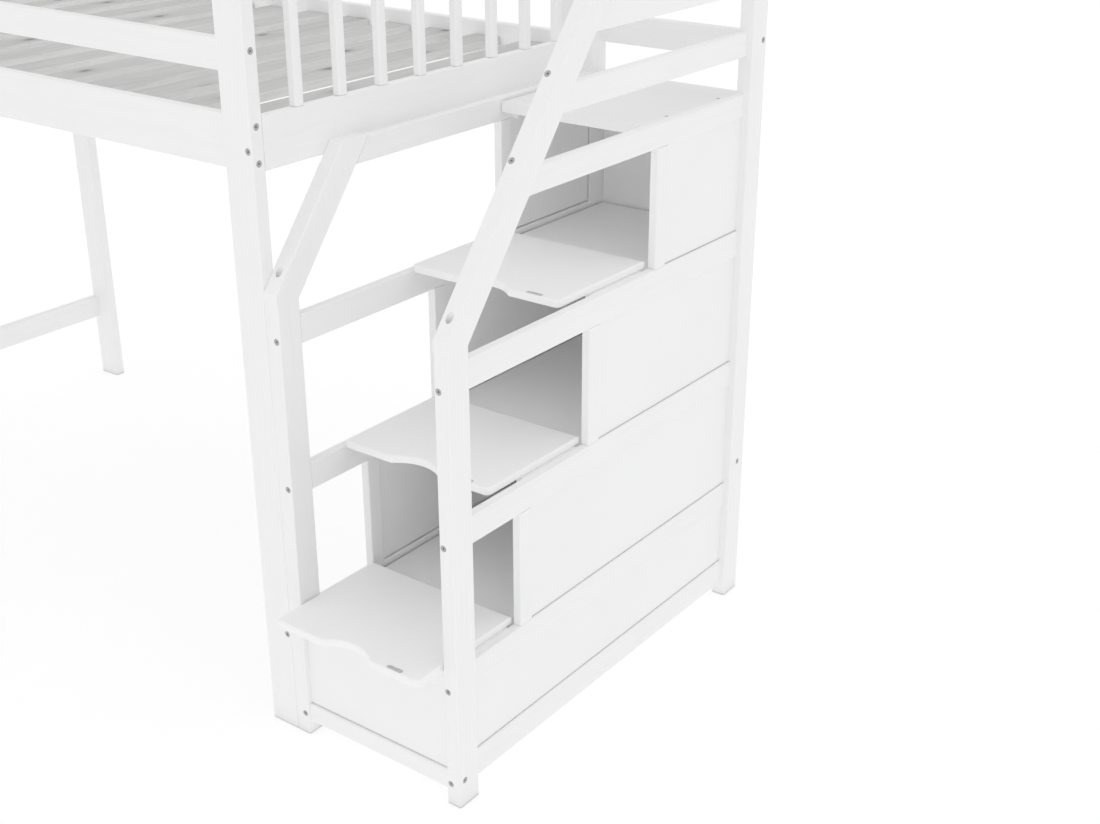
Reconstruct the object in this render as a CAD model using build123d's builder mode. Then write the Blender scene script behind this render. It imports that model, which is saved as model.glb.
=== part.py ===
from build123d import *
import os

os.makedirs("parts", exist_ok=True)

# ---------------------------------------------------------------------------
# Loft bed with storage stairs and a slide. Millimetres, +Z up.
# Origin: on the floor at the front, on the seam between the bed's end posts
# (x < 0) and the stair unit (x > 0). y = 0 is the front, y = bed_width the rear.
# ---------------------------------------------------------------------------

# bed frame
bed_length = 1980.0          # outer, along -X
bed_width = 1084.0           # outer, along Y
post_w = 74.0                # bed post, along X
post_t = 31.0                # bed post, along Y
post_top = 1650.0
rail_t = 20.0                # thickness of every rail board
rail_in = 5.5                # long rails sit back from the posts' outer faces
rail_z = (1222.0, 1325.0)    # bed rails
stretcher_z = (200.0, 270.0)
guard_z = ((1402.0, 1462.0), (1539.0, 1599.0))
top_rail_z = (1539.0, 1599.0)
spindle_w = 23.0
spindle_y0 = 118.0
spindle_pitch = 117.1
spindle_count = 8
spindle_r = 5.0
spindle_gap = 1.2                # shoulder above the rail, round the tenon
slat_top = 1292.0
slat_t = 19.0
slat_w = 80.0
slat_far_edges = [-187.0, -338.0] + [-484.0 - 141.0 * i for i in range(11)]
ledger_t = 23.0

# slide
slide_x = (-1880.0, -1400.0)     # outer faces of the side boards
slide_side_t = 20.0
slide_slope = 40.0               # degrees
chute_t = 9.0
chute_top = 1334.0
runout_top = 70.0
runout_end = -1726.0
opening_upright_x = (-1390.0, -1345.0)

# stair unit
stair_w = 454.0
left_in = 36.0                   # inner face of the left posts and rails
right_in = 420.0                 # inner face of the right posts and rails
sp_depth = 58.0                  # stair post, along Y
rear_y = 1025.0                  # front face of the rear stair posts
sp_top = 974.0                   # top of the front stair posts
left_rail = (16.0, 36.0)
right_rail = (420.0, 440.0)
side_rail_z = ((32.0, 94.5), (248.4, 308.5), (564.8, 624.7), (881.0, 941.0))
landing_rail_z = (1197.5, 1248.0)
guard_right_z = ((1328.5, 1381.0), (1461.0, 1513.0), (1594.0, 1646.0))
stile_w = 38.0
stile_y = (219.5, 451.0, 686.0)
panel_t = 8.5
panel_gap = 1.2                  # shadow gap under each recessed panel
panel_play = 2.6                 # and behind the left ones
board_play = 3.0                 # round the floors, landing and back panel
stile_gap = 0.8                  # shoulder round the stiles' tenons
floor_top = (295.0, 612.0, 928.0)
floor_t = 15.0
back_t = 6.0
landing_z = (1217.0, 1240.0)
rise_y = 0.79                    # y gained per mm of height on the handrail's upper face
rise_y2 = 0.785                  # and on its lower face

# lift-up tread lids: front edge y, rear edge y, underside z
lid_t = 16.0
lids = ((-73.0, 218.0, 308.5), (150.0, 449.5, 625.0), (376.0, 680.0, 941.0))
lid_x = (39.5, 416.5)
lid_gap = 0.4
lid_corner_r = 12.0
lid_edge_r = (4.0, 2.5)          # upper and lower edges
scallop_x = 231.0
scallop_r = 89.4
scallop_depth = 25.0
plate_x = 353.0
plate_l = 39.0
plate_w = 11.0
plate_t = 1.4

# hinges under the rear edge of each lid
knuckle_r = 3.5
pin_r = 1.5
pin_play = 0.05
leaf_t = 1.5
hinge_len = 50.0
hinge_x = (105.0, 351.0)         # centres
hinge_back = 4.0                 # pin axis behind the lid's rear edge
leaf_screw_dx = 17.0             # screws either side of a leaf's centre
leaf_screw_r = 1.4
leaf_head_r = 3.2
leaf_screw_l = 10.0

# fasteners
bolt_r = 3.0
head_r = 6.8
head_h = 4.0
head_sink = 0.6
bore_play = 0.1

edge_r = 3.0                     # rounding along the boards' long edges

back_y = bed_width - back_t


def board(x, y, z):
    # square-cornered board from its three extents
    with Locations(((x[0] + x[1]) / 2, (y[0] + y[1]) / 2, (z[0] + z[1]) / 2)):
        Box(x[1] - x[0], y[1] - y[0], z[1] - z[0])


def bores(points, outward, depth):
    # counterbored bolt holes drilled inwards from a face
    for p in points:
        with Locations(Plane(origin=p, z_dir=outward)):
            CounterBoreHole(bolt_r + bore_play, head_r + bore_play,
                            head_sink + head_h, depth)


def shank_holes(points, outward, depth):
    # the same bolts where they run on into the end of a rail
    for p in points:
        with Locations(Plane(origin=p, z_dir=outward)):
            Hole(bolt_r + bore_play, depth)


def bolts(points, outward, length):
    # socket-head furniture bolts seated in those holes
    for p in points:
        plane = Plane(origin=p, z_dir=outward)
        head = plane.offset(-head_sink)
        with BuildSketch(head) as disc:
            Circle(head_r)
        extrude(disc.sketch, amount=-head_h)
        with BuildSketch(head.offset(-head_h)) as rod:
            Circle(bolt_r)
        extrude(rod.sketch, amount=-(length - head_sink - head_h - 1.0))
        with BuildSketch(head) as socket:
            RegularPolygon(2.6, 6)
        extrude(socket.sketch, amount=-2.5, mode=Mode.SUBTRACT)


def rail_front(z):
    # rear face of the slanted handrails
    return sp_depth + rise_y2 * (z - sp_top)


def rail_upper(z):
    # upper face of the slanted handrails
    return rise_y * (z - 996.0)


# --- bolt positions --------------------------------------------------------
level_bolt_z = (49.7, 267.0, 583.4, 899.0)
front_bolts_r = [(430.0, 0.0, z) for z in level_bolt_z]
front_bolts_l = [(26.0, 0.0, z) for z in level_bolt_z]
rear_bolts_r = [(430.0, bed_width, z) for z in level_bolt_z + (1222.7, 1340.0, 1487.0, 1620.0)]
rear_bolts_l = [(26.0, bed_width, z) for z in level_bolt_z + (1222.7,)]
foot_bolt_r = [(stair_w, 15.6, 60.6)]
foot_bolt_l = [(0.0, 15.6, 60.6)]
cross_bolts_r = [(stair_w, 1057.5, 359.2), (stair_w, 1070.0, 1359.4),
                 (stair_w, 1070.0, 1477.0), (stair_w, 1070.0, 1604.0)]
cross_bolts_l = [(0.0, 1057.5, 359.2), (0.0, 1070.0, 1359.4),
                 (0.0, 1070.0, 1477.0), (0.0, 1070.0, 1604.0)]
rail_bolt_z = (1239.1, 1307.7, 1444.3, 1557.0)
end_bolt_z = (233.2, 1263.1, 1580.0)
slant_out = (0, -0.785, 0.620)
slant_bolts = [(430.0, rail_upper(z), z) for z in (1270.0, 1406.0, 1537.0)]
side_reach = sp_depth + 42.0
cross_reach = 70.0
rail_reach = post_w + 40.0
end_reach = post_t + 40.0
slant_reach = 96.0

x_far = -bed_length


def rail_bolt_points(x, y):
    return [(x, y, z) for z in rail_bolt_z]


def end_bolt_points(x, y):
    return [(x, y, z) for z in end_bolt_z]


# --- bed posts -------------------------------------------------------------
with BuildPart() as bed_post_front_right:
    board((-post_w, 0), (0, post_t), (0, post_top))
    fillet(bed_post_front_right.edges().filter_by(Axis.Z), edge_r)
    fillet(bed_post_front_right.edges().group_by(Axis.Z)[-1], 2.0)
    bores(rail_bolt_points(0.0, 15.5), (1, 0, 0), rail_reach)
    bores(end_bolt_points(-10.5, 0.0), (0, -1, 0), end_reach)
bed_post_front_right.part.label = "bed_post_front_right"
export_step(bed_post_front_right.part, "parts/bed_post_front_right.step")

with BuildPart() as bed_post_rear_right:
    board((-post_w, 0), (bed_width - post_t, bed_width), (0, post_top))
    fillet(bed_post_rear_right.edges().filter_by(Axis.Z), edge_r)
    fillet(bed_post_rear_right.edges().group_by(Axis.Z)[-1], 2.0)
    bores(rail_bolt_points(0.0, bed_width - 15.5), (1, 0, 0), rail_reach)
    bores(end_bolt_points(-10.5, bed_width), (0, 1, 0), end_reach)
bed_post_rear_right.part.label = "bed_post_rear_right"
export_step(bed_post_rear_right.part, "parts/bed_post_rear_right.step")

with BuildPart() as bed_post_front_left:
    board((x_far, x_far + post_w), (0, post_t), (0, post_top))
    fillet(bed_post_front_left.edges().filter_by(Axis.Z), edge_r)
    fillet(bed_post_front_left.edges().group_by(Axis.Z)[-1], 2.0)
    bores(rail_bolt_points(x_far, 15.5)[:2], (-1, 0, 0), rail_reach)
    bores(end_bolt_points(x_far + 10.5, 0.0), (0, -1, 0), end_reach)
bed_post_front_left.part.label = "bed_post_front_left"
export_step(bed_post_front_left.part, "parts/bed_post_front_left.step")

with BuildPart() as bed_post_rear_left:
    board((x_far, x_far + post_w), (bed_width - post_t, bed_width), (0, post_top))
    fillet(bed_post_rear_left.edges().filter_by(Axis.Z), edge_r)
    fillet(bed_post_rear_left.edges().group_by(Axis.Z)[-1], 2.0)
    bores(rail_bolt_points(x_far, bed_width - 15.5), (-1, 0, 0), rail_reach)
    bores(end_bolt_points(x_far + 10.5, bed_width), (0, 1, 0), end_reach)
bed_post_rear_left.part.label = "bed_post_rear_left"
export_step(bed_post_rear_left.part, "parts/bed_post_rear_left.step")

# --- bed rails -------------------------------------------------------------
long_x = (x_far + post_w, -post_w)
front_y = (rail_in, rail_in + rail_t)
rear_rail_y = (bed_width - rail_in - rail_t, bed_width - rail_in)
end_y = (post_t, bed_width - post_t)

with BuildPart() as front_long_rail:
    board(long_x, front_y, rail_z)
    fillet(front_long_rail.edges().filter_by(Axis.X), edge_r)
    shank_holes(rail_bolt_points(0.0, 15.5)[:2], (1, 0, 0), rail_reach)
    shank_holes(rail_bolt_points(x_far, 15.5)[:2], (-1, 0, 0), rail_reach)
front_long_rail.part.label = "front_long_rail"
export_step(front_long_rail.part, "parts/front_long_rail.step")

with BuildPart() as rear_long_rail:
    board(long_x, rear_rail_y, rail_z)
    fillet(rear_long_rail.edges().filter_by(Axis.X), edge_r)
    shank_holes(rail_bolt_points(0.0, bed_width - 15.5)[:2], (1, 0, 0), rail_reach)
    shank_holes(rail_bolt_points(x_far, bed_width - 15.5)[:2], (-1, 0, 0), rail_reach)
rear_long_rail.part.label = "rear_long_rail"
export_step(rear_long_rail.part, "parts/rear_long_rail.step")

with BuildPart() as end_rails:
    board((-rail_t, 0), end_y, rail_z)
    board((x_far, x_far + rail_t), end_y, rail_z)
    fillet(end_rails.edges().filter_by(Axis.Y), edge_r)
    for x in (-10.5, x_far + 10.5):
        shank_holes([(x, 0.0, end_bolt_z[1])], (0, -1, 0), end_reach)
        shank_holes([(x, bed_width, end_bolt_z[1])], (0, 1, 0), end_reach)
end_rails.part.label = "end_rails"
export_step(end_rails.part, "parts/end_rails.step")

with BuildPart() as end_stretchers:
    board((-rail_t, 0), end_y, stretcher_z)
    board((x_far, x_far + rail_t), end_y, stretcher_z)
    fillet(end_stretchers.edges().filter_by(Axis.Y), edge_r)
    for x in (-10.5, x_far + 10.5):
        shank_holes([(x, 0.0, end_bolt_z[0])], (0, -1, 0), end_reach)
        shank_holes([(x, bed_width, end_bolt_z[0])], (0, 1, 0), end_reach)
end_stretchers.part.label = "end_stretchers"
export_step(end_stretchers.part, "parts/end_stretchers.step")

with BuildPart() as end_top_rails:
    board((-rail_t, 0), end_y, top_rail_z)
    board((x_far, x_far + rail_t), end_y, top_rail_z)
    fillet(end_top_rails.edges().filter_by(Axis.Y), edge_r)
    for x in (-10.5, x_far + 10.5):
        shank_holes([(x, 0.0, end_bolt_z[2])], (0, -1, 0), end_reach)
        shank_holes([(x, bed_width, end_bolt_z[2])], (0, 1, 0), end_reach)
end_top_rails.part.label = "end_top_rails"
export_step(end_top_rails.part, "parts/end_top_rails.step")

with BuildPart() as spindles_right_end:
    for i in range(spindle_count):
        y = spindle_y0 + spindle_pitch * i
        board((-rail_t, 0), (y, y + spindle_w), (rail_z[1] + spindle_gap, top_rail_z[0]))
    fillet(spindles_right_end.edges().filter_by(Axis.Z), spindle_r)
    for i in range(spindle_count):
        y = spindle_y0 + spindle_pitch * i
        board((-rail_t + 4.0, 0 - 4.0), (y + 4.0, y + spindle_w - 4.0),
              (rail_z[1], rail_z[1] + spindle_gap + 1.0))
spindles_right_end.part.label = "spindles_right_end"
export_step(spindles_right_end.part, "parts/spindles_right_end.step")

with BuildPart() as spindles_left_end:
    for i in range(spindle_count):
        y = spindle_y0 + spindle_pitch * i
        board((x_far, x_far + rail_t), (y, y + spindle_w), (rail_z[1] + spindle_gap, top_rail_z[0]))
    fillet(spindles_left_end.edges().filter_by(Axis.Z), spindle_r)
    for i in range(spindle_count):
        y = spindle_y0 + spindle_pitch * i
        board((x_far + 4.0, x_far + rail_t - 4.0), (y + 4.0, y + spindle_w - 4.0),
              (rail_z[1], rail_z[1] + spindle_gap + 1.0))
spindles_left_end.part.label = "spindles_left_end"
export_step(spindles_left_end.part, "parts/spindles_left_end.step")

with BuildPart() as front_guard_rails:
    for z in guard_z:
        board((opening_upright_x[1], -post_w), front_y, z)
    fillet(front_guard_rails.edges().filter_by(Axis.X), edge_r)
    shank_holes(rail_bolt_points(0.0, 15.5)[2:], (1, 0, 0), rail_reach)
front_guard_rails.part.label = "front_guard_rails"
export_step(front_guard_rails.part, "parts/front_guard_rails.step")

with BuildPart() as slide_opening_upright:
    board(opening_upright_x, front_y, (rail_z[1], post_top))
    fillet(slide_opening_upright.edges().filter_by(Axis.Z), edge_r)
    fillet(slide_opening_upright.edges().group_by(Axis.Z)[-1], 2.0)
slide_opening_upright.part.label = "slide_opening_upright"
export_step(slide_opening_upright.part, "parts/slide_opening_upright.step")

with BuildPart() as rear_guard_rails:
    for z in guard_z:
        board(long_x, rear_rail_y, z)
    fillet(rear_guard_rails.edges().filter_by(Axis.X), edge_r)
    shank_holes(rail_bolt_points(0.0, bed_width - 15.5)[2:], (1, 0, 0), rail_reach)
    shank_holes(rail_bolt_points(x_far, bed_width - 15.5)[2:], (-1, 0, 0), rail_reach)
rear_guard_rails.part.label = "rear_guard_rails"
export_step(rear_guard_rails.part, "parts/rear_guard_rails.step")

with BuildPart() as slat_ledgers:
    ledger_z = (slat_top - slat_t - 25.0, slat_top - slat_t)
    board(long_x, (front_y[1], front_y[1] + ledger_t), ledger_z)
    board(long_x, (rear_rail_y[0] - ledger_t, rear_rail_y[0]), ledger_z)
slat_ledgers.part.label = "slat_ledgers"
export_step(slat_ledgers.part, "parts/slat_ledgers.step")

with BuildPart() as bed_slats:
    for x in slat_far_edges:
        board((x, x + slat_w), (front_y[1] + 1.5, rear_rail_y[0] - 1.5),
              (slat_top - slat_t, slat_top))
    fillet(bed_slats.edges().filter_by(Axis.Y).group_by(Axis.Z)[-1], 2.0)
bed_slats.part.label = "bed_slats"
export_step(bed_slats.part, "parts/bed_slats.step")

# --- slide -----------------------------------------------------------------
import math

slope_tan = math.tan(math.radians(slide_slope))
slope_cos = math.cos(math.radians(slide_slope))
slope_sin = math.sin(math.radians(slide_slope))
inner_x = (slide_x[0] + slide_side_t, slide_x[1] - slide_side_t)
drop_t = chute_t / slope_cos
runout_start = -(chute_top - runout_top) / slope_tan
low_start = -(chute_top - drop_t - (runout_top - chute_t)) / slope_tan
low_top = (chute_top - chute_t - (chute_top - drop_t)) / slope_tan

with BuildPart() as slide_chute:
    with BuildSketch(Plane.YZ.offset(inner_x[0])):
        with BuildLine():
            Polyline((front_y[1], chute_top), (0, chute_top), (runout_start, runout_top),
                     (runout_end, runout_top), (runout_end, runout_top - chute_t),
                     (low_start, runout_top - chute_t), (low_top, chute_top - chute_t),
                     (front_y[1], chute_top - chute_t), close=True)
        make_face()
    extrude(amount=inner_x[1] - inner_x[0])
    fillet(slide_chute.edges().filter_by(Axis.X).group_by(Axis.Y)[0], 3.0)
slide_chute.part.label = "slide_chute"
export_step(slide_chute.part, "parts/slide_chute.step")

side_up = chute_top + 85.0 / slope_cos       # upper edge's height at y = 0
side_low = side_up - 150.0 / slope_cos       # lower edge's height at y = 0
side_end_z = runout_top + 90.0

with BuildPart() as slide_side_boards:
    for x in (slide_x[0], slide_x[1] - slide_side_t):
        with BuildSketch(Plane.YZ.offset(x)):
            with BuildLine():
                Polyline((rail_in, side_low + rail_in * slope_tan),
                         (rail_in, side_up + rail_in * slope_tan),
                         (-(side_up - side_end_z) / slope_tan, side_end_z),
                         (runout_end + 30.0, side_end_z), (runout_end, side_end_z - 30.0),
                         (runout_end, 0), (-side_low / slope_tan, 0), close=True)
            make_face()
        extrude(amount=slide_side_t)
    top_edges = slide_side_boards.edges().filter_by(lambda e: abs(e.tangent_at(0.5).X) < 0.01)
    fillet([e for e in top_edges
            if e.center().Z > side_end_z - 20.0
            and abs(e.center().Z - (side_up + e.center().Y * slope_tan)) < 1.0], edge_r)
slide_side_boards.part.label = "slide_side_boards"
export_step(slide_side_boards.part, "parts/slide_side_boards.step")

with BuildPart() as slide_battens:
    for s in (90.0, 470.0, 850.0, 1230.0, 1610.0, 1880.0):
        centre = (0.5 * (inner_x[0] + inner_x[1]),
                  -slope_cos * s + slope_sin * (chute_t + 10.0),
                  chute_top - slope_sin * s - slope_cos * (chute_t + 10.0))
        with Locations(Plane(origin=centre, x_dir=(1, 0, 0), z_dir=(0, -slope_sin, slope_cos))):
            Box(inner_x[1] - inner_x[0], 60.0, 20.0)
    board(inner_x, (runout_end + 40.0, runout_end + 100.0),
          (runout_top - chute_t - 20.0, runout_top - chute_t))
slide_battens.part.label = "slide_battens"
export_step(slide_battens.part, "parts/slide_battens.step")

hook_t = 4.0
with BuildPart() as slide_hooks:
    for x in (slide_x[0] - hook_t, slide_x[1]):
        with BuildSketch(Plane.YZ.offset(x)):
            with BuildLine():
                Polyline((-80, 1270), (-80, 1345), (34, 1345), (34, 1300),
                         (front_y[1] + 0.3, 1300), (front_y[1] + 0.3, rail_z[1]),
                         (rail_in, rail_z[1]), (rail_in, 1270), close=True)
            make_face()
        extrude(amount=hook_t)
        for y in (-60.0, -25.0):
            out = -1 if x < slide_x[0] else 1
            face_x = x if out < 0 else x + hook_t
            with Locations(Plane(origin=(face_x, y, 1310.0), z_dir=(out, 0, 0))):
                Hole(2.6, hook_t)
slide_hooks.part.label = "slide_hooks"
export_step(slide_hooks.part, "parts/slide_hooks.step")

with BuildPart() as slide_screws:
    for out, face_x in ((-1, slide_x[0] - hook_t), (1, slide_x[1] + hook_t)):
        for y in (-60.0, -25.0):
            with BuildSketch(Plane(origin=(face_x, y, 1310.0), z_dir=(out, 0, 0))) as head:
                Circle(5.0)
            extrude(head.sketch, amount=2.5)
            with BuildSketch(Plane(origin=(face_x, y, 1310.0), z_dir=(out, 0, 0))) as rod:
                Circle(2.5)
            extrude(rod.sketch, amount=-hook_t)
slide_screws.part.label = "slide_screws"
export_step(slide_screws.part, "parts/slide_screws.step")

# --- stair posts -----------------------------------------------------------
with BuildPart() as stair_post_front_left:
    board((0, left_in), (0, sp_depth), (0, sp_top))
    fillet(stair_post_front_left.edges().filter_by(Axis.Z), edge_r)
    bores(front_bolts_l, (0, -1, 0), side_reach)
    bores(foot_bolt_l, (-1, 0, 0), cross_reach)
    with Locations(Plane(origin=(18.0, 28.5, sp_top), z_dir=(0, 0, 1))):
        Hole(bolt_r + bore_play, 45.0)
stair_post_front_left.part.label = "stair_post_front_left"
export_step(stair_post_front_left.part, "parts/stair_post_front_left.step")

with BuildPart() as stair_post_front_right:
    board((right_in, stair_w), (0, sp_depth), (0, sp_top))
    fillet(stair_post_front_right.edges().filter_by(Axis.Z), edge_r)
    bores(front_bolts_r, (0, -1, 0), side_reach)
    bores(foot_bolt_r, (1, 0, 0), cross_reach)
    with Locations(Plane(origin=(437.0, 28.5, sp_top), z_dir=(0, 0, 1))):
        Hole(bolt_r + bore_play, 45.0)
stair_post_front_right.part.label = "stair_post_front_right"
export_step(stair_post_front_right.part, "parts/stair_post_front_right.step")

with BuildPart() as stair_post_rear_left:
    board((0, left_in), (rear_y, bed_width), (0, post_top))
    fillet(stair_post_rear_left.edges().filter_by(Axis.Z), edge_r)
    fillet(stair_post_rear_left.edges().group_by(Axis.Z)[-1], 2.0)
    bores(rear_bolts_l, (0, 1, 0), side_reach)
    bores(cross_bolts_l, (-1, 0, 0), cross_reach)
stair_post_rear_left.part.label = "stair_post_rear_left"
export_step(stair_post_rear_left.part, "parts/stair_post_rear_left.step")

with BuildPart() as stair_post_rear_right:
    board((right_in, stair_w), (rear_y, bed_width), (0, post_top))
    fillet(stair_post_rear_right.edges().filter_by(Axis.Z), edge_r)
    fillet(stair_post_rear_right.edges().group_by(Axis.Z)[-1], 2.0)
    bores(rear_bolts_r, (0, 1, 0), side_reach)
    bores(cross_bolts_r, (1, 0, 0), cross_reach)
stair_post_rear_right.part.label = "stair_post_rear_right"
export_step(stair_post_rear_right.part, "parts/stair_post_rear_right.step")

# --- slanted handrails -----------------------------------------------------
seat_z = 1008.0                  # floor of the upright counterbore
left_cut = 1248.0
right_cut = 1646.0

with BuildPart() as handrail_left:
    with BuildSketch(Plane.YZ):
        with BuildLine():
            Polyline((0, sp_top), (sp_depth, sp_top), (rail_front(left_cut), left_cut),
                     (rail_upper(left_cut), left_cut), (0, 996.0), close=True)
        make_face()
    extrude(amount=left_in)
    fillet([e for e in handrail_left.edges()
            if abs(e.tangent_at(0.5).X) < 0.01 and e.length > 150.0], edge_r)
    with Locations(Plane(origin=(18.0, 28.5, 1060.0), z_dir=(0, 0, 1))):
        CounterBoreHole(bolt_r + bore_play, 7.5, 1060.0 - seat_z, 1060.0 - sp_top)
handrail_left.part.label = "handrail_left"
export_step(handrail_left.part, "parts/handrail_left.step")

with BuildPart() as handrail_right:
    with BuildSketch(Plane.YZ.offset(right_in)):
        with BuildLine():
            Polyline((0, sp_top), (sp_depth, sp_top), (rail_front(right_cut), right_cut),
                     (rail_upper(right_cut), right_cut), (0, 996.0), close=True)
        make_face()
    extrude(amount=stair_w - right_in)
    fillet([e for e in handrail_right.edges()
            if abs(e.tangent_at(0.5).X) < 0.01 and e.length > 150.0], edge_r)
    with Locations(Plane(origin=(437.0, 28.5, 1060.0), z_dir=(0, 0, 1))):
        CounterBoreHole(bolt_r + bore_play, 7.5, 1060.0 - seat_z, 1060.0 - sp_top)
    bores(slant_bolts, slant_out, slant_reach)
handrail_right.part.label = "handrail_right"
export_step(handrail_right.part, "parts/handrail_right.step")

# --- side frames of the stairs ---------------------------------------------
side_y = (sp_depth, rear_y)

with BuildPart() as side_rails_right:
    for z in side_rail_z:
        board(right_rail, side_y, z)
    with BuildSketch(Plane.YZ.offset(right_rail[0])):
        with BuildLine():
            Polyline((rail_front(landing_rail_z[0]), landing_rail_z[0]), (rear_y, landing_rail_z[0]),
                     (rear_y, landing_rail_z[1]), (rail_front(landing_rail_z[1]), landing_rail_z[1]),
                     close=True)
        make_face()
    extrude(amount=rail_t)
    fillet(side_rails_right.edges().filter_by(Axis.Y), edge_r)
    shank_holes(front_bolts_r, (0, -1, 0), side_reach)
    shank_holes(rear_bolts_r[:5], (0, 1, 0), side_reach)
    shank_holes(slant_bolts[:1], slant_out, slant_reach)
side_rails_right.part.label = "side_rails_right"
export_step(side_rails_right.part, "parts/side_rails_right.step")

with BuildPart() as side_rails_left:
    for z in side_rail_z:
        board(left_rail, side_y, z)
    with BuildSketch(Plane.YZ.offset(left_rail[0])):
        with BuildLine():
            Polyline((rail_front(landing_rail_z[0]), landing_rail_z[0]), (rear_y, landing_rail_z[0]),
                     (rear_y, landing_rail_z[1]), (rail_front(landing_rail_z[1]), landing_rail_z[1]),
                     close=True)
        make_face()
    extrude(amount=rail_t)
    fillet(side_rails_left.edges().filter_by(Axis.Y), edge_r)
    shank_holes(front_bolts_l, (0, -1, 0), side_reach)
    shank_holes(rear_bolts_l, (0, 1, 0), side_reach)
side_rails_left.part.label = "side_rails_left"
export_step(side_rails_left.part, "parts/side_rails_left.step")

with BuildPart() as landing_guard_rails:
    for z in guard_right_z:
        with BuildSketch(Plane.YZ.offset(right_rail[0])):
            with BuildLine():
                Polyline((rail_front(z[0]), z[0]), (rear_y, z[0]),
                         (rear_y, z[1]), (rail_front(z[1]), z[1]), close=True)
            make_face()
        extrude(amount=rail_t)
    fillet(landing_guard_rails.edges().filter_by(Axis.Y), edge_r)
    shank_holes(rear_bolts_r[5:], (0, 1, 0), side_reach)
    shank_holes(slant_bolts[1:], slant_out, slant_reach)
landing_guard_rails.part.label = "landing_guard_rails"
export_step(landing_guard_rails.part, "parts/landing_guard_rails.step")

stile_z = ((side_rail_z[1][1], side_rail_z[2][0]), (side_rail_z[2][1], side_rail_z[3][0]),
           (side_rail_z[3][1], landing_rail_z[0]))
with BuildPart() as side_stiles:
    for x in (left_rail, right_rail):
        for y, z in zip(stile_y, stile_z):
            board(x, (y, y + stile_w), (z[0] + stile_gap, z[1]))
    fillet(side_stiles.edges().filter_by(Axis.Z), edge_r)
    for x in (left_rail, right_rail):
        for y, z in zip(stile_y, stile_z):
            board((x[0] + 4.0, x[1] - 4.0), (y + 4.0, y + stile_w - 4.0),
                  (z[0], z[0] + stile_gap + 1.0))
side_stiles.part.label = "side_stiles"
export_step(side_stiles.part, "parts/side_stiles.step")

panel_spans = ((sp_depth, (side_rail_z[0][1], side_rail_z[1][0])),
               (stile_y[0] + stile_w, stile_z[0]),
               (stile_y[1] + stile_w, stile_z[1]),
               (stile_y[2] + stile_w, stile_z[2]))
with BuildPart() as side_panels_right:
    for y0, z in panel_spans:
        board((right_rail[0] + 6.0, right_rail[0] + 6.0 + panel_t), (y0, rear_y),
              (z[0] + panel_gap, z[1]))
side_panels_right.part.label = "side_panels_right"
export_step(side_panels_right.part, "parts/side_panels_right.step")

with BuildPart() as side_panels_left:
    for y0, z in panel_spans:
        board((left_rail[0] + 5.5, left_rail[0] + 5.5 + panel_t), (y0, rear_y - panel_play),
              (z[0] + 2 * panel_gap, z[1]))
side_panels_left.part.label = "side_panels_left"
export_step(side_panels_left.part, "parts/side_panels_left.step")

# --- boards between the side frames ----------------------------------------
inner = (left_in, right_in)
loose = (left_in + board_play, right_in - board_play)
pin_y = [lid[1] + hinge_back for lid in lids]
pin_z = [lid[2] - leaf_t / 2 for lid in lids]
leaf_face = [y - leaf_t / 2 for y in pin_y]      # rear face of each hinge rail


def rail_screw_points(n):
    # on the rear face of the fixed leaves
    return [(cx + dx, pin_y[n] + leaf_t / 2, pin_z[n] - 8.25)
            for cx in hinge_x for dx in (-leaf_screw_dx, leaf_screw_dx)]


def lid_screw_points(n):
    # on the lower face of the moving leaves
    return [(cx + dx, pin_y[n] - 16.0, pin_z[n] - leaf_t / 2)
            for cx in hinge_x for dx in (-leaf_screw_dx, leaf_screw_dx)]


def flat_screws(points, outward, length):
    # low-headed cross-slotted screws standing on a face
    for p in points:
        plane = Plane(origin=p, z_dir=outward)
        with BuildSketch(plane) as cap:
            Circle(leaf_head_r)
        extrude(cap.sketch, amount=1.0)
        with BuildSketch(plane) as rod:
            Circle(leaf_screw_r)
        extrude(rod.sketch, amount=-length)
        with BuildSketch(plane.offset(1.0)) as cross:
            Rectangle(3.6, 0.8)
            Rectangle(0.8, 3.6)
        extrude(cross.sketch, amount=-0.8, mode=Mode.SUBTRACT)

with BuildPart() as compartment_floors:
    board(loose, (front_y[1], back_y - board_play), (60.0, 75.0))
    for face, top in zip(leaf_face, floor_top):
        board(loose, (face + leaf_t, back_y - board_play), (top - floor_t, top))
compartment_floors.part.label = "compartment_floors"
export_step(compartment_floors.part, "parts/compartment_floors.step")

with BuildPart() as floor_cleats:
    for x in ((left_in, left_in + 18.0), (right_in - 18.0, right_in)):
        board(x, (front_y[1], back_y), (42.0, 60.0))
        for face, top in zip(leaf_face, floor_top):
            board(x, (face + leaf_t, 1046.0), (top - floor_t - 18.0, top - floor_t))
floor_cleats.part.label = "floor_cleats"
export_step(floor_cleats.part, "parts/floor_cleats.step")

with BuildPart() as back_panel:
    board(loose, (back_y, bed_width), (side_rail_z[0][0], landing_z[0]))
back_panel.part.label = "back_panel"
export_step(back_panel.part, "parts/back_panel.step")

with BuildPart() as front_rails:
    board(inner, front_y, (31.0, 74.0))
    board(inner, front_y, (266.0, lids[0][2] - lid_gap))
    fillet(front_rails.edges().filter_by(Axis.X).group_by(Axis.Y)[0], edge_r)
    shank_holes(foot_bolt_r, (1, 0, 0), cross_reach)
    shank_holes(foot_bolt_l, (-1, 0, 0), cross_reach)
front_rails.part.label = "front_rails"
export_step(front_rails.part, "parts/front_rails.step")

with BuildPart() as front_panel:
    board(inner, (12.0, 20.0), (74.0 + panel_gap, 266.0))
front_panel.part.label = "front_panel"
export_step(front_panel.part, "parts/front_panel.step")

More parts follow.
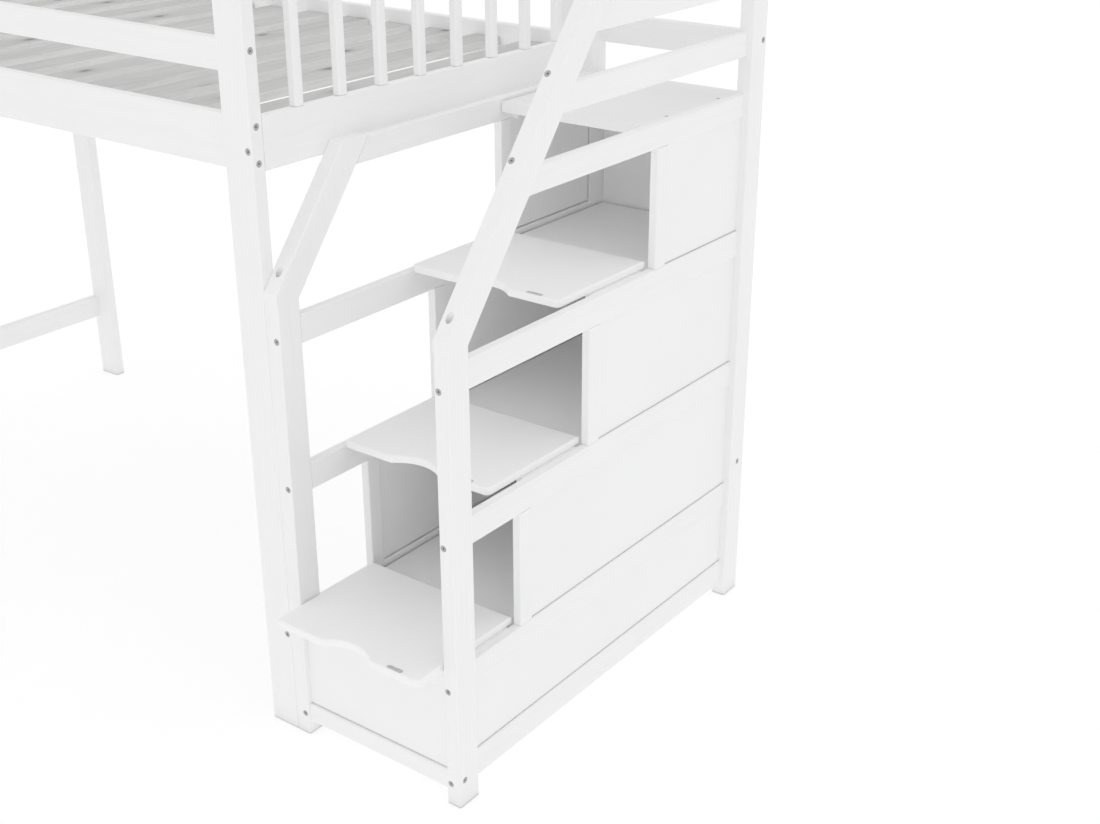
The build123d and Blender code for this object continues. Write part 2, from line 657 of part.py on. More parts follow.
with BuildPart() as hinge_rails:
    for face, lid in zip(leaf_face, lids):
        board(inner, (face - rail_t, face), (lid[2] - 60.0, lid[2] - 5.0))
    for n in range(3):
        for x, y, z in rail_screw_points(n):
            with Locations(Plane(origin=(x, y - leaf_t, z), z_dir=(0, 1, 0))):
                Hole(leaf_screw_r + 0.05, leaf_screw_l + 0.5)
hinge_rails.part.label = "hinge_rails"
export_step(hinge_rails.part, "parts/hinge_rails.step")

cleat_y = ((front_y[1], leaf_face[0] - rail_t), (stile_y[0] + stile_w, leaf_face[1] - rail_t),
           (stile_y[1] + stile_w, leaf_face[2] - rail_t))
with BuildPart() as tread_cleats:
    for x in ((left_in, left_in + 18.0), (right_in - 18.0, right_in)):
        for y, lid in zip(cleat_y, lids):
            board(x, y, (lid[2] - lid_gap - 18.0, lid[2] - lid_gap))
        board(x, (stile_y[2] + stile_w, back_y), (landing_z[0] - 18.0, landing_z[0]))
tread_cleats.part.label = "tread_cleats"
export_step(tread_cleats.part, "parts/tread_cleats.step")

landing_screw_at = [(396.0, 781.0), (396.0, 988.0), (60.0, 781.0), (60.0, 988.0)]
screw_head_r = 4.5
with BuildPart() as landing_board:
    board(loose, (stile_y[2], bed_width - 1.0), landing_z)
    fillet(landing_board.edges().filter_by(Axis.X).group_by(Axis.Y)[0], 2.5)
    with Locations(*[(x, y, landing_z[1]) for x, y in landing_screw_at]):
        CounterBoreHole(2.1, screw_head_r + 0.1, 2.5, landing_z[1] - landing_z[0])
landing_board.part.label = "landing_board"
export_step(landing_board.part, "parts/landing_board.step")

with BuildPart() as wood_screws:
    for x, y in landing_screw_at:
        with BuildSketch(Plane(origin=(x, y, landing_z[1] - 0.4))) as head:
            Circle(screw_head_r)
        extrude(head.sketch, amount=-2.1)
        with BuildSketch(Plane(origin=(x, y, landing_z[1] - 2.5))) as rod:
            Circle(2.0)
        extrude(rod.sketch, amount=-(landing_z[1] - landing_z[0] - 2.5))
        with BuildSketch(Plane(origin=(x, y, landing_z[1] - 0.4))) as cross:
            Rectangle(4.4, 1.1)
            Rectangle(1.1, 4.4)
        extrude(cross.sketch, amount=-1.4, mode=Mode.SUBTRACT)
    for n in range(3):
        flat_screws(rail_screw_points(n), (0, 1, 0), leaf_t + leaf_screw_l)
wood_screws.part.label = "wood_screws"
export_step(wood_screws.part, "parts/wood_screws.step")

with BuildPart() as rear_cross_boards:
    board(inner, (1047.5, 1067.5), (330.0, 390.0))
    for z in ((1312.0, 1377.0), (1445.0, 1510.0), (1581.0, 1646.0)):
        board(inner, (1064.0, bed_width), z)
    fillet(rear_cross_boards.edges().filter_by(Axis.X), edge_r)
    shank_holes(cross_bolts_r, (1, 0, 0), cross_reach)
    shank_holes(cross_bolts_l, (-1, 0, 0), cross_reach)
rear_cross_boards.part.label = "rear_cross_boards"
export_step(rear_cross_boards.part, "parts/rear_cross_boards.step")

# --- bolts of the whole frame ----------------------------------------------
with BuildPart() as frame_bolts:
    bolts(rail_bolt_points(0.0, 15.5), (1, 0, 0), rail_reach)
    bolts(rail_bolt_points(0.0, bed_width - 15.5), (1, 0, 0), rail_reach)
    bolts(rail_bolt_points(x_far, 15.5)[:2], (-1, 0, 0), rail_reach)
    bolts(rail_bolt_points(x_far, bed_width - 15.5), (-1, 0, 0), rail_reach)
    for x in (-10.5, x_far + 10.5):
        bolts(end_bolt_points(x, 0.0), (0, -1, 0), end_reach)
        bolts(end_bolt_points(x, bed_width), (0, 1, 0), end_reach)
    bolts(front_bolts_r + front_bolts_l, (0, -1, 0), side_reach)
    bolts(rear_bolts_r + rear_bolts_l, (0, 1, 0), side_reach)
    bolts(foot_bolt_r + cross_bolts_r, (1, 0, 0), cross_reach)
    bolts(foot_bolt_l + cross_bolts_l, (-1, 0, 0), cross_reach)
    bolts(slant_bolts, slant_out, slant_reach)
    for x in (18.0, 437.0):
        bolts([(x, 28.5, seat_z + head_h + head_sink)], (0, 0, 1),
              seat_z + head_h + head_sink - sp_top + 43.0)
frame_bolts.part.label = "frame_bolts"
export_step(frame_bolts.part, "parts/frame_bolts.step")

# --- hinges: fixed leaves, shared by all three lids ------------------------
knuckle_span = hinge_len / 3.0
with BuildPart() as fixed_hinge_leaves:
    for y, z in zip(pin_y, pin_z):
        for cx in hinge_x:
            x0 = cx - hinge_len / 2
            board((x0, x0 + hinge_len), (y - leaf_t / 2, y + leaf_t / 2), (z - 28.0, z - 4.0))
            for k in (0, 2):
                xa = x0 + knuckle_span * k + (0.0 if k == 0 else 0.2)
                xb = x0 + knuckle_span * (k + 1) - (0.2 if k == 0 else 0.0)
                board((xa, xb), (y - leaf_t / 2, y + leaf_t / 2), (z - 4.5, z - 2.5))
                with BuildSketch(Plane(origin=(xa, y, z), x_dir=(0, 1, 0), z_dir=(1, 0, 0))) as ring:
                    Circle(knuckle_r)
                extrude(ring.sketch, amount=xb - xa)
                with BuildSketch(Plane(origin=(xa, y, z), x_dir=(0, 1, 0), z_dir=(1, 0, 0))) as eye:
                    Circle(pin_r + pin_play)
                extrude(eye.sketch, amount=xb - xa, mode=Mode.SUBTRACT)
    for n in range(3):
        for p in rail_screw_points(n):
            with Locations(Plane(origin=p, z_dir=(0, 1, 0))):
                Hole(leaf_screw_r + 0.05, leaf_t)
fixed_hinge_leaves.part.label = "fixed_hinge_leaves"
export_step(fixed_hinge_leaves.part, "parts/fixed_hinge_leaves.step")


def moving_leaves(y, z):
    # leaf screwed under the lid, its single knuckle between the fixed ones
    for cx in hinge_x:
        x0 = cx - hinge_len / 2
        xa = x0 + knuckle_span + 0.2
        xb = x0 + 2 * knuckle_span - 0.2
        board((x0, x0 + hinge_len), (y - 28.0, y - 4.0), (z - leaf_t / 2, z + leaf_t / 2))
        board((xa, xb), (y - 4.5, y - 2.5), (z - leaf_t / 2, z + leaf_t / 2))
        with BuildSketch(Plane(origin=(xa, y, z), x_dir=(0, 1, 0), z_dir=(1, 0, 0))) as ring:
            Circle(knuckle_r)
        extrude(ring.sketch, amount=xb - xa)
        with BuildSketch(Plane(origin=(xa, y, z), x_dir=(0, 1, 0), z_dir=(1, 0, 0))) as eye:
            Circle(pin_r)
        extrude(eye.sketch, amount=xb - xa, mode=Mode.SUBTRACT)
        for dx in (-leaf_screw_dx, leaf_screw_dx):
            with Locations(Plane(origin=(cx + dx, y - 16.0, z - leaf_t / 2), z_dir=(0, 0, -1))):
                Hole(leaf_screw_r + 0.05, leaf_t)


def hinge_pins(y, z):
    for cx in hinge_x:
        with BuildSketch(Plane(origin=(cx - hinge_len / 2 - 0.5, y, z), x_dir=(0, 1, 0),
                               z_dir=(1, 0, 0))) as rod:
            Circle(pin_r)
        extrude(rod.sketch, amount=hinge_len + 1.0)


def lid_board(front, rear, under):
    # tread board: rounded front corners and a shallow finger scallop
    with BuildSketch(Plane.XY.offset(under)) as outline:
        with Locations(((lid_x[0] + lid_x[1]) / 2, (front + rear) / 2)):
            Rectangle(lid_x[1] - lid_x[0], rear - front)
        fillet(outline.vertices().group_by(Axis.Y)[0], lid_corner_r)
        with Locations((scallop_x, front - (scallop_r - scallop_depth))):
            Circle(scallop_r, mode=Mode.SUBTRACT)
        ends = [v for v in outline.vertices()
                if abs(v.Y - front) < 0.5 and abs(abs(v.X - scallop_x) - 62.0) < 3.0]
        fillet(ends, 14.0)
    extrude(outline.sketch, amount=lid_t)


def lid_edges(part, under):
    fillet(part.edges().filter_by(lambda e: abs(e.center().Z - (under + lid_t)) < 0.01
                                  and abs(e.tangent_at(0.5).Z) < 0.01), lid_edge_r[0])
    fillet(part.edges().filter_by(lambda e: abs(e.center().Z - under) < 0.01
                                  and abs(e.tangent_at(0.5).Z) < 0.01), lid_edge_r[1])


def plate_seat(front, under):
    # shallow seat, slot and pilot holes for the metal plate
    top = under + lid_t
    with BuildSketch(Plane(origin=(plate_x, front + 9.0, top))) as seat:
        SlotOverall(plate_l, plate_w)
    extrude(seat.sketch, amount=-(plate_t - 0.4), mode=Mode.SUBTRACT)
    with BuildSketch(Plane(origin=(plate_x, front + 9.0, top))) as slot:
        SlotOverall(16.0, 4.2)
    extrude(slot.sketch, amount=-9.0, mode=Mode.SUBTRACT)
    with BuildSketch(Plane(origin=(plate_x, front + 9.0, top))) as pilots:
        with Locations((-14.0, 0), (14.0, 0)):
            Circle(1.3)
    extrude(pilots.sketch, amount=-10.0, mode=Mode.SUBTRACT)


def plate_body(front, under):
    top = under + lid_t + 0.4
    with BuildSketch(Plane(origin=(plate_x, front + 9.0, top))) as seat:
        SlotOverall(plate_l, plate_w)
        SlotOverall(16.0, 4.2, mode=Mode.SUBTRACT)
        with Locations((-14.0, 0), (14.0, 0)):
            Circle(2.4, mode=Mode.SUBTRACT)
    extrude(seat.sketch, amount=-plate_t)


def plate_screw_pair(front, under):
    top = under + lid_t + 0.4
    for dx in (-14.0, 14.0):
        with BuildSketch(Plane(origin=(plate_x + dx, front + 9.0, top - 0.1))) as head:
            Circle(2.35)
        extrude(head.sketch, amount=-(plate_t - 0.1))
        with BuildSketch(Plane(origin=(plate_x + dx, front + 9.0, top - plate_t))) as rod:
            Circle(1.25)
        extrude(rod.sketch, amount=-8.0)
        with BuildSketch(Plane(origin=(plate_x + dx, front + 9.0, top - 0.1))) as cross:
            Rectangle(3.0, 0.7)
            Rectangle(0.7, 3.0)
        extrude(cross.sketch, amount=-0.9, mode=Mode.SUBTRACT)


# --- lid 1 -----------------------------------------------------------------
with BuildPart() as tread_lid_1:
    lid_board(*lids[0])
    lid_edges(tread_lid_1, lids[0][2])
    plate_seat(lids[0][0], lids[0][2])
    for x, y, z in lid_screw_points(0):
        with Locations(Plane(origin=(x, y, z + leaf_t), z_dir=(0, 0, -1))):
            Hole(leaf_screw_r + 0.05, leaf_screw_l + 0.5)
tread_lid_1.part.label = "tread_lid_1"
export_step(tread_lid_1.part, "parts/tread_lid_1.step")

with BuildPart() as lid_plate_1:
    plate_body(lids[0][0], lids[0][2])
lid_plate_1.part.label = "lid_plate_1"
export_step(lid_plate_1.part, "parts/lid_plate_1.step")

with BuildPart() as lid_screws_1:
    plate_screw_pair(lids[0][0], lids[0][2])
    flat_screws(lid_screw_points(0), (0, 0, -1), leaf_t + leaf_screw_l)
lid_screws_1.part.label = "lid_screws_1"
export_step(lid_screws_1.part, "parts/lid_screws_1.step")

with BuildPart() as lid_hinge_leaves_1:
    moving_leaves(pin_y[0], pin_z[0])
lid_hinge_leaves_1.part.label = "lid_hinge_leaves_1"
export_step(lid_hinge_leaves_1.part, "parts/lid_hinge_leaves_1.step")

with BuildPart() as lid_hinge_pins_1:
    hinge_pins(pin_y[0], pin_z[0])
lid_hinge_pins_1.part.label = "lid_hinge_pins_1"
export_step(lid_hinge_pins_1.part, "parts/lid_hinge_pins_1.step")

# --- lid 2 -----------------------------------------------------------------
with BuildPart() as tread_lid_2:
    lid_board(*lids[1])
    lid_edges(tread_lid_2, lids[1][2])
    plate_seat(lids[1][0], lids[1][2])
    for x, y, z in lid_screw_points(1):
        with Locations(Plane(origin=(x, y, z + leaf_t), z_dir=(0, 0, -1))):
            Hole(leaf_screw_r + 0.05, leaf_screw_l + 0.5)
tread_lid_2.part.label = "tread_lid_2"
export_step(tread_lid_2.part, "parts/tread_lid_2.step")

with BuildPart() as lid_plate_2:
    plate_body(lids[1][0], lids[1][2])
lid_plate_2.part.label = "lid_plate_2"
export_step(lid_plate_2.part, "parts/lid_plate_2.step")

with BuildPart() as lid_screws_2:
    plate_screw_pair(lids[1][0], lids[1][2])
    flat_screws(lid_screw_points(1), (0, 0, -1), leaf_t + leaf_screw_l)
lid_screws_2.part.label = "lid_screws_2"
export_step(lid_screws_2.part, "parts/lid_screws_2.step")

with BuildPart() as lid_hinge_leaves_2:
    moving_leaves(pin_y[1], pin_z[1])
lid_hinge_leaves_2.part.label = "lid_hinge_leaves_2"
export_step(lid_hinge_leaves_2.part, "parts/lid_hinge_leaves_2.step")

with BuildPart() as lid_hinge_pins_2:
    hinge_pins(pin_y[1], pin_z[1])
lid_hinge_pins_2.part.label = "lid_hinge_pins_2"
export_step(lid_hinge_pins_2.part, "parts/lid_hinge_pins_2.step")

# --- lid 3 -----------------------------------------------------------------
with BuildPart() as tread_lid_3:
    lid_board(*lids[2])
    lid_edges(tread_lid_3, lids[2][2])
    plate_seat(lids[2][0], lids[2][2])
    for x, y, z in lid_screw_points(2):
        with Locations(Plane(origin=(x, y, z + leaf_t), z_dir=(0, 0, -1))):
            Hole(leaf_screw_r + 0.05, leaf_screw_l + 0.5)
tread_lid_3.part.label = "tread_lid_3"
export_step(tread_lid_3.part, "parts/tread_lid_3.step")

with BuildPart() as lid_plate_3:
    plate_body(lids[2][0], lids[2][2])
lid_plate_3.part.label = "lid_plate_3"
export_step(lid_plate_3.part, "parts/lid_plate_3.step")

with BuildPart() as lid_screws_3:
    plate_screw_pair(lids[2][0], lids[2][2])
    flat_screws(lid_screw_points(2), (0, 0, -1), leaf_t + leaf_screw_l)
lid_screws_3.part.label = "lid_screws_3"
export_step(lid_screws_3.part, "parts/lid_screws_3.step")

with BuildPart() as lid_hinge_leaves_3:
    moving_leaves(pin_y[2], pin_z[2])
lid_hinge_leaves_3.part.label = "lid_hinge_leaves_3"
export_step(lid_hinge_leaves_3.part, "parts/lid_hinge_leaves_3.step")

with BuildPart() as lid_hinge_pins_3:
    hinge_pins(pin_y[2], pin_z[2])
lid_hinge_pins_3.part.label = "lid_hinge_pins_3"
export_step(lid_hinge_pins_3.part, "parts/lid_hinge_pins_3.step")
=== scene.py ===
import bpy
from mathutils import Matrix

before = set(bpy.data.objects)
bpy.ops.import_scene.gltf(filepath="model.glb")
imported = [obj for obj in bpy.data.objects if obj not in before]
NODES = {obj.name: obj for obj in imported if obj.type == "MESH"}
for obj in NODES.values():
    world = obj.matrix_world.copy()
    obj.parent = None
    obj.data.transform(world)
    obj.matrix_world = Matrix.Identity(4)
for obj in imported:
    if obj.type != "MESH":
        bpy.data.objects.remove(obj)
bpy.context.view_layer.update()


# ---------------------------------------------------------------------------
# node helpers
# ---------------------------------------------------------------------------
class Tree:
    def __init__(self, name):
        self.mat = bpy.data.materials.new(name)
        self.mat.use_nodes = True
        self.t = self.mat.node_tree
        self.t.nodes.clear()
        self.out = self.t.nodes.new("ShaderNodeOutputMaterial")
        self.bsdf = self.t.nodes.new("ShaderNodeBsdfPrincipled")
        self.t.links.new(self.bsdf.outputs[0], self.out.inputs[0])

    def node(self, kind, **props):
        n = self.t.nodes.new(kind)
        for k, v in props.items():
            setattr(n, k, v)
        return n

    def link(self, a, b):
        self.t.links.new(a, b)

    def coords(self, scale, along="Y", turn=(0, 0, 0), shift=(0, 0, 0)):
        """Object coordinates, squeezed so that the pattern runs along one axis."""
        tc = self.node("ShaderNodeTexCoord")
        m = self.node("ShaderNodeMapping")
        m.inputs["Scale"].default_value = scale
        m.inputs["Rotation"].default_value = turn
        m.inputs["Location"].default_value = shift
        self.link(tc.outputs["Object"], m.inputs["Vector"])
        return m.outputs["Vector"]

    def noise(self, vec, scale, detail=3.0, rough=0.5, distort=0.0):
        n = self.node("ShaderNodeTexNoise")
        n.inputs["Scale"].default_value = scale
        n.inputs["Detail"].default_value = detail
        n.inputs["Roughness"].default_value = rough
        n.inputs["Distortion"].default_value = distort
        self.link(vec, n.inputs["Vector"])
        return n.outputs["Fac"]

    def ramp(self, fac, stops):
        r = self.node("ShaderNodeValToRGB")
        els = r.color_ramp.elements
        while len(els) > 1:
            els.remove(els[-1])
        els[0].position, els[0].color = stops[0][0], grey(stops[0][1])
        for pos, col in stops[1:]:
            e = els.new(pos)
            e.color = grey(col)
        self.link(fac, r.inputs["Fac"])
        return r.outputs["Color"]

    def math(self, op, a, b=None, clamp=False):
        m = self.node("ShaderNodeMath", operation=op, use_clamp=clamp)
        for i, v in enumerate((a, b)):
            if v is None:
                continue
            if isinstance(v, (int, float)):
                m.inputs[i].default_value = v
            else:
                self.link(v, m.inputs[i])
        return m.outputs[0]

    def mix(self, fac, a, b, blend="MIX"):
        m = self.node("ShaderNodeMix", data_type="RGBA", blend_type=blend)
        for sock, v in ((m.inputs[0], fac), (m.inputs[6], a), (m.inputs[7], b)):
            if isinstance(v, (int, float)):
                sock.default_value = v
            elif isinstance(v, tuple):
                sock.default_value = grey(v)
            else:
                self.link(v, sock)
        return m.outputs[2]

    def height(self, stops):
        """Factor that changes with the height above the floor, in metres (0 to 0.1)."""
        tc = self.node("ShaderNodeTexCoord")
        xyz = self.node("ShaderNodeSeparateXYZ")
        self.link(tc.outputs["Object"], xyz.inputs[0])
        return self.ramp(self.math("MULTIPLY", xyz.outputs["Z"], 10.0, clamp=True), stops)

    def facing(self, axis):
        """1 on the faces across one of the object's axes, 0 on the others."""
        tc = self.node("ShaderNodeTexCoord")
        xyz = self.node("ShaderNodeSeparateXYZ")
        self.link(tc.outputs["Normal"], xyz.inputs[0])
        size = self.math("ABSOLUTE", xyz.outputs[axis])
        return self.ramp(size, [(0.35, 0.0), (0.75, 1.0)])

    def bump(self, height, strength, distance, normal=None):
        b = self.node("ShaderNodeBump")
        b.inputs["Strength"].default_value = strength
        b.inputs["Distance"].default_value = distance
        self.link(height, b.inputs["Height"])
        if normal is not None:
            self.link(normal, b.inputs["Normal"])
        return b.outputs["Normal"]


def grey(c):
    if isinstance(c, (int, float)):
        return (c, c, c, 1.0)
    return tuple(c) + (1.0,) if len(c) == 3 else tuple(c)


# stretch factors that make a pattern run along one axis
GRAIN = {"X": (0.06, 1.0, 1.0), "Y": (1.0, 0.06, 1.0), "Z": (1.0, 1.0, 0.06)}


def painted_wood(name, along, tone=(0.930, 0.930, 0.932), shift=(0, 0, 0)):
    """White satin paint over sanded softwood: the grain just telegraphs through."""
    m = Tree(name)
    grain_vec = m.coords(GRAIN[along], shift=shift)
    plain_vec = m.coords((1, 1, 1), shift=shift)
    grain = m.noise(grain_vec, 90.0, 5.0, 0.6, 0.35)
    fine = m.noise(grain_vec, 420.0, 3.0, 0.6, 0.1)
    peel = m.noise(plain_vec, 900.0, 2.0, 0.5)
    cloud = m.noise(plain_vec, 5.0, 2.0, 0.5)
    shade = m.ramp(cloud, [(0.3, tuple(v * 0.988 for v in tone)), (0.7, tone)])
    streak = m.ramp(grain, [(0.30, 0.982), (0.55, 1.0)])
    colour = m.mix(1.0, shade, streak, "MULTIPLY")
    if along == "Z":
        # painted contact shade: darker towards the floor where the posts stand on it
        foot_contact_shade = m.height([(0.0, 0.62), (0.022, 0.72), (0.05, 0.90), (0.16, 0.965), (0.45, 1.0)])
        colour = m.mix(1.0, colour, foot_contact_shade, "MULTIPLY")
    m.link(colour, m.bsdf.inputs["Base Color"])
    rough = m.node("ShaderNodeMapRange")
    rough.inputs["To Min"].default_value = 0.42
    rough.inputs["To Max"].default_value = 0.58
    m.link(cloud, rough.inputs["Value"])
    m.link(rough.outputs["Result"], m.bsdf.inputs["Roughness"])
    n1 = m.bump(grain, 0.06, 0.0006)
    n2 = m.bump(fine, 0.05, 0.0002, n1)
    n3 = m.bump(peel, 0.04, 0.0001, n2)
    m.link(n3, m.bsdf.inputs["Normal"])
    m.bsdf.inputs["Specular IOR Level"].default_value = 0.25
    return m.mat


def painted_panel(name, face=None, tone=(0.930, 0.930, 0.932)):
    """Smooth lacquered board: no grain, only the faint texture of the sprayed coat.
    With a face axis, the board's edge faces are coloured dark brown: painted shade for the
    creases between boards."""
    m = Tree(name)
    vec = m.coords((1, 1, 1))
    peel = m.noise(vec, 700.0, 2.0, 0.5)
    cloud = m.noise(vec, 4.0, 2.0, 0.5)
    colour = m.ramp(cloud, [(0.3, tuple(v * 0.985 for v in tone)), (0.7, tone)])
    # painted shade: faces not across the face axis get the dark tone, so the gaps between
    # boards look dark
    if face:
        crease_shade = m.ramp(m.noise(vec, 320.0, 3.0, 0.6), [(0.3, (0.20, 0.175, 0.145)),
                                                     (0.7, (0.27, 0.24, 0.20))])
        colour = m.mix(m.facing(face), crease_shade, colour)
    m.link(colour, m.bsdf.inputs["Base Color"])
    rough = m.node("ShaderNodeMapRange")
    rough.inputs["To Min"].default_value = 0.38
    rough.inputs["To Max"].default_value = 0.52
    m.link(cloud, rough.inputs["Value"])
    m.link(rough.outputs["Result"], m.bsdf.inputs["Roughness"])
    m.link(m.bump(peel, 0.06, 0.0001), m.bsdf.inputs["Normal"])
    m.bsdf.inputs["Specular IOR Level"].default_value = 0.25
    return m.mat


def bare_pine(name):
    """Unpainted greyed softwood with streaks and dark knots, grain along Y."""
    m = Tree(name)
    vec = m.coords((1, 1, 1))
    # knots: stretched cells of a flat pattern, about half of them used
    kvec = m.coords((7.1, 4.2, 1.0), shift=(0.31, 0.17, 0.0))
    cells = m.node("ShaderNodeTexVoronoi", feature="F1", distance="EUCLIDEAN",
                   voronoi_dimensions="2D")
    cells.inputs["Scale"].default_value = 1.0
    cells.inputs["Randomness"].default_value = 0.9
    m.link(kvec, cells.inputs["Vector"])
    pick = m.node("ShaderNodeSeparateColor")
    m.link(cells.outputs["Color"], pick.inputs[0])
    unused = m.math("GREATER_THAN", pick.outputs[0], 0.55)
    near = m.math("ADD", cells.outputs["Distance"], unused)
    swirl = m.math("MULTIPLY", m.ramp(near, [(0.0, 1.0), (0.45, 0.0)]), 0.35)
    # grain lines bend round the knots
    gvec = m.coords((1.0, 0.05, 1.0))
    bent = m.node("ShaderNodeVectorMath", operation="ADD")
    push = m.node("ShaderNodeCombineXYZ")
    m.link(m.math("MULTIPLY", swirl, 0.05), push.inputs["X"])
    m.link(gvec, bent.inputs[0])
    m.link(push.outputs[0], bent.inputs[1])
    broad = m.noise(bent.outputs[0], 26.0, 4.0, 0.55, 0.4)
    lines = m.noise(bent.outputs[0], 150.0, 4.0, 0.6, 0.3)
    fine = m.noise(bent.outputs[0], 600.0, 2.0, 0.6, 0.0)
    wood = m.ramp(broad, [(0.22, (0.540, 0.537, 0.532)), (0.45, (0.604, 0.601, 0.596)),
                          (0.75, (0.648, 0.645, 0.640))])
    wood = m.mix(1.0, wood, m.ramp(lines, [(0.30, 0.90), (0.60, 1.0)]), "MULTIPLY")
    # painted light: the side faces of the boards are made lighter than their top faces
    edge = m.facing("X")
    painted_side_light = m.mix(1.0, wood, (1.22, 1.22, 1.22), "MULTIPLY")
    wood = m.mix(edge, wood, painted_side_light)
    knot = m.ramp(near, [(0.0, 0.36), (0.035, 0.50), (0.075, 0.80), (0.14, 0.94), (0.26, 1.0)])
    knot = m.mix(edge, knot, (1.0, 1.0, 1.0))
    wood = m.mix(1.0, wood, knot, "MULTIPLY")
    m.link(wood, m.bsdf.inputs["Base Color"])
    m.bsdf.inputs["Roughness"].default_value = 0.72
    m.bsdf.inputs["Specular IOR Level"].default_value = 0.2
    n1 = m.bump(lines, 0.25, 0.0006)
    n2 = m.bump(fine, 0.15, 0.0003, n1)
    m.link(n2, m.bsdf.inputs["Normal"])
    return m.mat


def metal(name, tone, rough_lo, rough_hi, metallic):
    """Zinc-plated steel: fine mottling and tiny scratches."""
    m = Tree(name)
    vec = m.coords((1, 1, 1))
    mottle = m.noise(vec, 260.0, 3.0, 0.6)
    scratch = m.noise(m.coords((1.0, 0.12, 1.0), turn=(0.3, 0.5, 0.8)), 1400.0, 2.0, 0.7)
    m.link(m.ramp(mottle, [(0.3, tuple(v * 0.86 for v in tone)), (0.7, tone)]),
           m.bsdf.inputs["Base Color"])
    m.bsdf.inputs["Metallic"].default_value = metallic
    rough = m.node("ShaderNodeMapRange")
    rough.inputs["To Min"].default_value = rough_lo
    rough.inputs["To Max"].default_value = rough_hi
    m.link(mottle, rough.inputs["Value"])
    m.link(rough.outputs["Result"], m.bsdf.inputs["Roughness"])
    m.link(m.bump(scratch, 0.15, 0.0001), m.bsdf.inputs["Normal"])
    return m.mat


PAINT = {a: painted_wood("white_paint_grain_" + a.lower(), a) for a in "XYZ"}
PANEL = painted_panel("white_lacquered_board")
# painted light and shade: the same white lacquer, lighter on the tread lids and darker on the
# landing
LID_PAINTED_LIGHT = painted_panel("white_lacquered_lid_painted_light", tone=(0.955, 0.955, 0.956))
LANDING_PAINTED_SHADE = painted_panel("white_lacquered_landing_painted_shade", tone=(0.885, 0.885, 0.887))
CREASE_SHADED = {a: painted_panel("white_board_painted_crease_shade_" + a.lower(), a) for a in "XYZ"}
PINE = bare_pine("bare_knotty_pine")
BOLT = metal("zinc_bolt", (0.50, 0.50, 0.51), 0.40, 0.58, 0.35)
PLATE = metal("nickel_plate", (0.74, 0.74, 0.75), 0.30, 0.45, 0.55)

along = {
    "X": ["front_long_rail", "rear_long_rail", "front_guard_rails", "rear_guard_rails",
          "slat_ledgers", "front_rails", "rear_cross_boards", "hinge_rails", "slide_battens"],
    "Y": ["end_rails", "end_stretchers", "end_top_rails", "side_rails_left", "side_rails_right",
          "landing_guard_rails", "floor_cleats", "tread_cleats", "slide_side_boards"],
    "Z": ["bed_post_front_right", "bed_post_rear_right", "bed_post_front_left",
          "bed_post_rear_left", "spindles_right_end", "spindles_left_end",
          "slide_opening_upright", "stair_post_front_left", "stair_post_front_right",
          "stair_post_rear_left", "stair_post_rear_right", "side_stiles",
          "handrail_left", "handrail_right"],
}
look = {n: PAINT[a] for a, names in along.items() for n in names}
look["slide_chute"] = PANEL
look["landing_board"] = LANDING_PAINTED_SHADE
for n in ("tread_lid_1", "tread_lid_2", "tread_lid_3"):
    look[n] = LID_PAINTED_LIGHT
# painted crease shade on the edge faces of the panels and compartment floors
look["side_panels_left"] = look["side_panels_right"] = CREASE_SHADED["X"]
look["front_panel"] = look["back_panel"] = CREASE_SHADED["Y"]
look["compartment_floors"] = CREASE_SHADED["Z"]
look["bed_slats"] = PINE
for n in NODES:
    if n.startswith("lid_plate") or n.startswith("lid_screws"):
        look[n] = PLATE
    elif n not in look:
        look[n] = BOLT

for n, o in NODES.items():
    o.data.materials.clear()
    o.data.materials.append(look[n])

# ---------------------------------------------------------------------------
# floor, light and camera
# ---------------------------------------------------------------------------
scene = bpy.context.scene
scene.view_settings.view_transform = "Standard"
scene.view_settings.look = "None"
scene.view_settings.exposure = 0.0
scene.view_settings.gamma = 1.0
scene.cycles.max_bounces = 16
scene.cycles.diffuse_bounces = 10

world = bpy.data.worlds.new("studio")
world.use_nodes = True
scene.world = world
WORLD = {"base": 0.613, "right": 0.087, "front": 0.119, "top": 0.403}
wt = world.node_tree
direction = wt.nodes.new("ShaderNodeTexCoord")
split = wt.nodes.new("ShaderNodeSeparateXYZ")
wt.links.new(direction.outputs["Generated"], split.inputs[0])


def lobe(socket, sign, weight):
    side = wt.nodes.new("ShaderNodeMath")
    side.operation = "MULTIPLY"
    side.use_clamp = True
    side.inputs[1].default_value = sign
    wt.links.new(socket, side.inputs[0])
    scaled = wt.nodes.new("ShaderNodeMath")
    scaled.operation = "MULTIPLY"
    scaled.inputs[1].default_value = weight
    wt.links.new(side.outputs[0], scaled.inputs[0])
    return scaled.outputs[0]


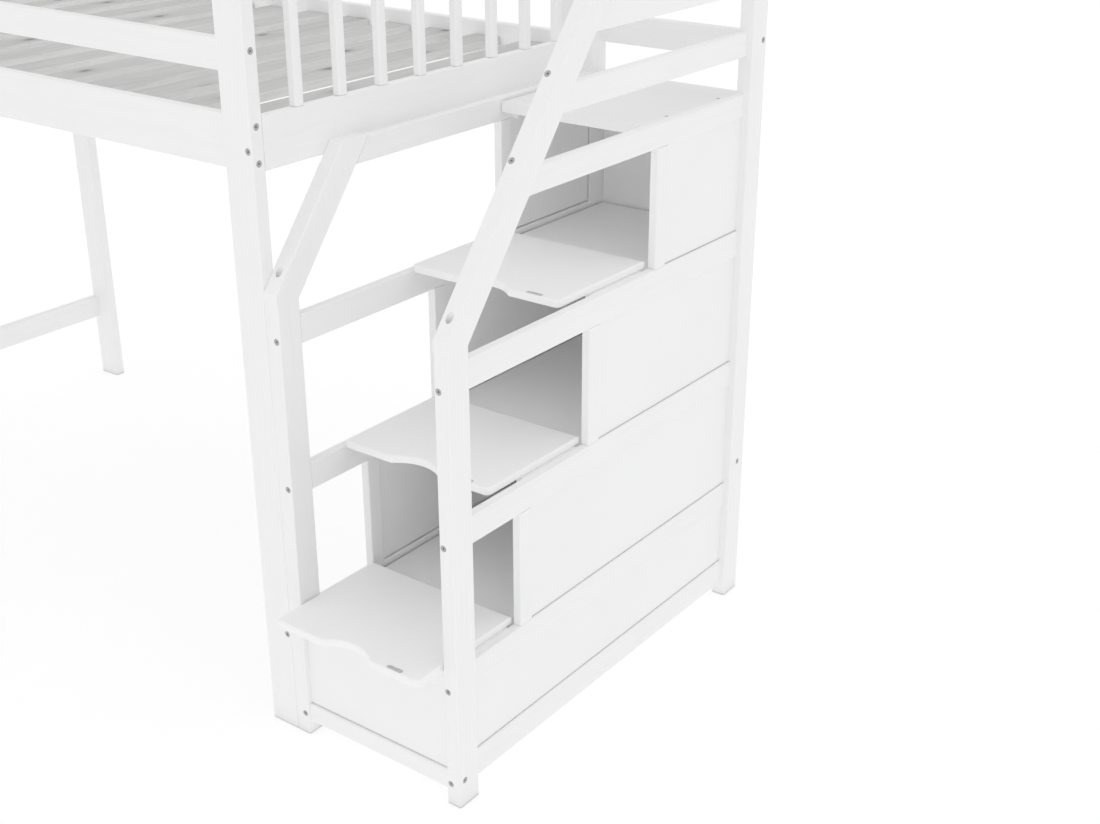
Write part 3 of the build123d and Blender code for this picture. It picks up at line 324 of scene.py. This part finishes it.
total = None
for socket, sign, weight in ((split.outputs["X"], 1.0, WORLD["right"]),
                             (split.outputs["Y"], -1.0, WORLD["front"]),
                             (split.outputs["Z"], 1.0, WORLD["top"])):
    add = wt.nodes.new("ShaderNodeMath")
    add.operation = "ADD"
    wt.links.new(lobe(socket, sign, weight), add.inputs[0])
    if total is None:
        add.inputs[1].default_value = WORLD["base"]
    else:
        wt.links.new(total, add.inputs[1])
    total = add.outputs[0]
wt.nodes["Background"].inputs[0].default_value = (1.0, 1.0, 1.0, 1.0)
wt.links.new(total, wt.nodes["Background"].inputs[1])

FLOOR_TONE = 0.52
FLOOR_GLOW = 0.545
floor_mat = Tree("pale_floor")
fvec = floor_mat.coords((1, 1, 1))
fcloud = floor_mat.noise(fvec, 0.8, 2.0, 0.5)
floor_mat.link(floor_mat.ramp(fcloud, [(0.3, FLOOR_TONE * 0.985), (0.7, FLOOR_TONE)]),
               floor_mat.bsdf.inputs["Base Color"])
floor_mat.bsdf.inputs["Roughness"].default_value = 0.9
floor_mat.bsdf.inputs["Specular IOR Level"].default_value = 0.0
floor_mat.bsdf.inputs["Emission Color"].default_value = (1, 1, 1, 1)
floor_mat.bsdf.inputs["Emission Strength"].default_value = FLOOR_GLOW

mesh = bpy.data.meshes.new("studio_floor")
size = 40.0
mesh.from_pydata([(-size, -size, 0), (size, -size, 0), (size, size, 0), (-size, size, 0)],
                 [], [(0, 1, 2, 3)])
floor = bpy.data.objects.new("studio_floor", mesh)
scene.collection.objects.link(floor)
floor.location = (-0.7, 0.0, -0.0005)
mesh.materials.append(floor_mat.mat)


camera_data = bpy.data.cameras.new("camera")
camera_data.sensor_fit = "HORIZONTAL"
camera_data.sensor_width = 36.0
camera_data.lens = 49.7833
camera_data.clip_start = 0.05
camera_data.clip_end = 200.0
camera = bpy.data.objects.new("camera", camera_data)
scene.collection.objects.link(camera)
camera.location = (2.055244, -1.865387, 1.958)
camera.rotation_euler = (1.1520961, 0.0, 0.6369638)
scene.camera = camera
